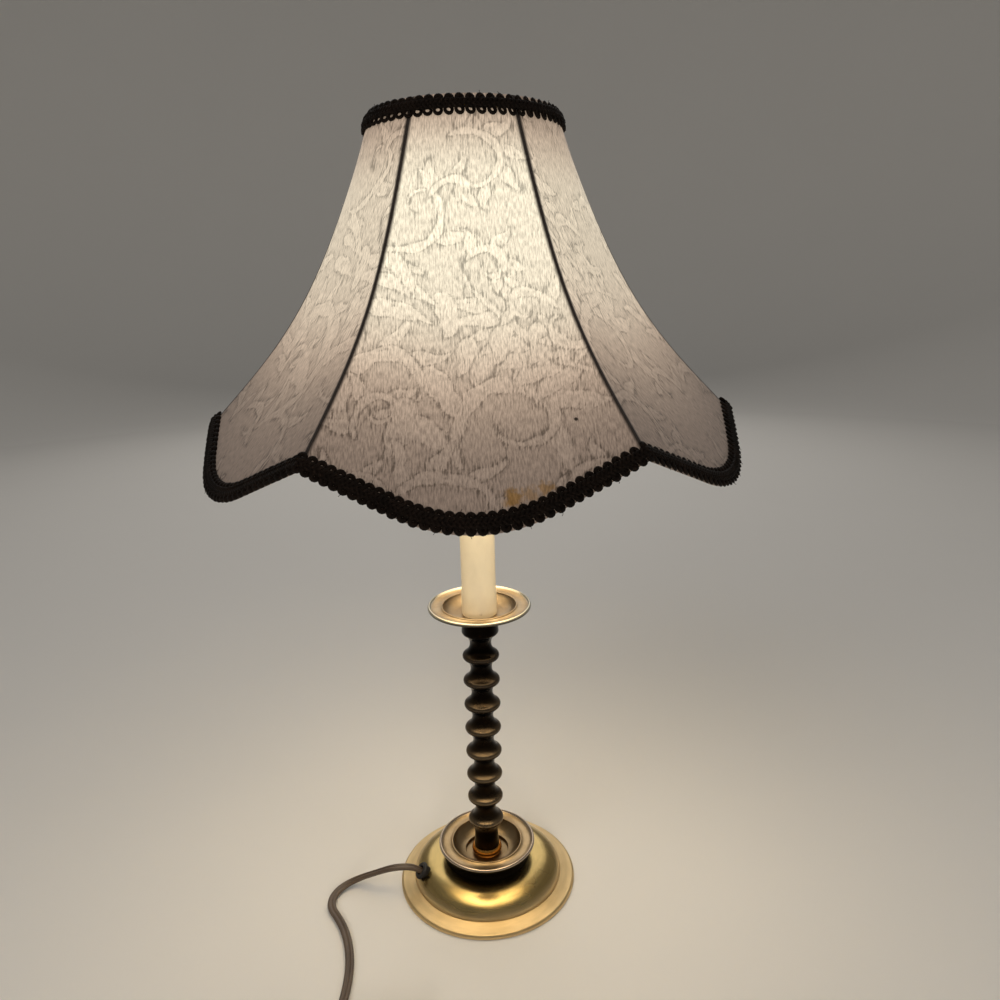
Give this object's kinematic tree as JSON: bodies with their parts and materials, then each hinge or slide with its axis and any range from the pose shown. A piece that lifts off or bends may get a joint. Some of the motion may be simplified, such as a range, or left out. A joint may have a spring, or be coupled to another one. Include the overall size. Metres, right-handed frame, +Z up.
{
  "type": "table lamp",
  "caption": "Candlestick table lamp: round brass foot, bobbin-turned spindle, drip pan, cream candle tube, harp and a panelled bell shade with scalloped, braided edges.",
  "frame": {"origin": "middle of the felt's underside, on the lamp's axis", "axes": "+Z up along the pipe; the shade's front panel and the switch knob face -Y; +X to the right"},
  "size_m": [0.3234, 0.383, 0.5093],
  "materials": {
    "felt": "dark felt",
    "ballast": "rough casting",
    "base_brass": "satin yellow brass, lacquered",
    "dull_brass": "dull pinkish brass with a worn lip",
    "gold_brass": "warm polished brass",
    "antique_brass": "dark antique brass, rubbed on the beads",
    "harp_brass": "brassed steel",
    "socket_brass": "bright brass",
    "zinc_steel": "zinc plated",
    "candle_sleeve": "cream candle sleeve, slightly stained",
    "liner_card": "grey-brown fibre card",
    "switch_plastic": "moulded phenolic",
    "knob_plastic": "fluted, dark brown",
    "screw_shell": "drawn shell",
    "contact_brass": "plain brass",
    "bulb_cap_metal": "rolled screw cap",
    "bulb_white": "moulded white",
    "bulb_diffuser": "frosted, lit",
    "shade_fabric": "beige damask on a stiff lining",
    "braid": "looped gimp braid, very dark brown",
    "frame_wire": "dark lacquered wire",
    "bushing_rubber": "dark rubber",
    "cord_cover": "brown flat twin cover",
    "plug_rubber": "moulded brown",
    "tie_plastic": "black band"
  },
  "bodies": {
    "stand": {"base_felt": "felt", "base_weight": "ballast", "base_shell": "base_brass", "base_washer": "zinc_steel", "base_nut": "zinc_steel", "base_cup": "dull_brass", "cord_bushing": "bushing_rubber", "foot_ring": "gold_brass", "spindle": "antique_brass", "drip_pan": "dull_brass", "center_pipe": "zinc_steel", "candle_tube": "candle_sleeve", "harp_saddle": "harp_brass", "harp_bow": "harp_brass", "harp_stud": "harp_brass", "socket_cap": "socket_brass", "socket_set_screw": "zinc_steel", "socket_shell": "socket_brass", "socket_liner": "liner_card", "socket_core": "switch_plastic", "socket_screw_shell": "screw_shell", "socket_contact": "contact_brass", "terminal_screws": "contact_brass", "inner_lead": "cord_cover", "cord_free": "cord_cover", "cord_coil": "cord_cover", "coil_tie": "tie_plastic", "plug_body": "plug_rubber", "plug_blades": "contact_brass"},
    "shade": {"shade_spider": "frame_wire", "shade_top_ring": "frame_wire", "shade_bottom_wire": "frame_wire", "shade_top_trim": "braid", "shade_bottom_trim": "braid", "shade_panel_front": "shade_fabric", "shade_panel_front_right": "shade_fabric", "shade_panel_back_right": "shade_fabric", "shade_panel_back": "shade_fabric", "shade_panel_back_left": "shade_fabric", "shade_panel_front_left": "shade_fabric", "shade_rib_1": "frame_wire", "shade_rib_2": "frame_wire", "shade_rib_3": "frame_wire", "shade_rib_4": "frame_wire", "shade_rib_5": "frame_wire", "shade_rib_6": "frame_wire"},
    "finial": {"finial": "socket_brass"},
    "harp_sleeve_left": {"harp_sleeve_left": "harp_brass"},
    "harp_sleeve_right": {"harp_sleeve_right": "harp_brass"},
    "switch": {"switch_shaft": "contact_brass", "switch_knob": "knob_plastic"},
    "bulb": {"bulb_tip": "contact_brass", "bulb_insulator": "switch_plastic", "bulb_cap": "bulb_cap_metal", "bulb_housing": "bulb_white", "bulb_board": "bulb_white", "bulb_dome": "bulb_diffuser"}
  },
  "joints": [
    {"name": "shade_swivel", "type": "hinge", "parent": "stand", "child": "shade", "pos_m": [0, 0, 0.48856], "axis": [0, 0, 1], "continuous": true},
    {"name": "finial_turn", "type": "hinge", "parent": "stand", "child": "finial", "pos_m": [0, 0, 0.48976], "axis": [0, 0, 1], "range_deg": [0, 1350]},
    {"name": "harp_sleeve_left_slide", "type": "slide", "parent": "stand", "child": "harp_sleeve_left", "axis": [0, 0, 1], "range_m": [0, 0.012]},
    {"name": "harp_sleeve_right_slide", "type": "slide", "parent": "stand", "child": "harp_sleeve_right", "axis": [0, 0, 1], "range_m": [0, 0.012]},
    {"name": "switch_turn", "type": "hinge", "parent": "stand", "child": "switch", "pos_m": [0, -0.025, 0.33366], "axis": [0, -1, 0], "continuous": true},
    {"name": "bulb_turn", "type": "hinge", "parent": "stand", "child": "bulb", "pos_m": [0, 0, 0.35226], "axis": [0, 0, 1], "range_deg": [0, 1260]}
  ]
}
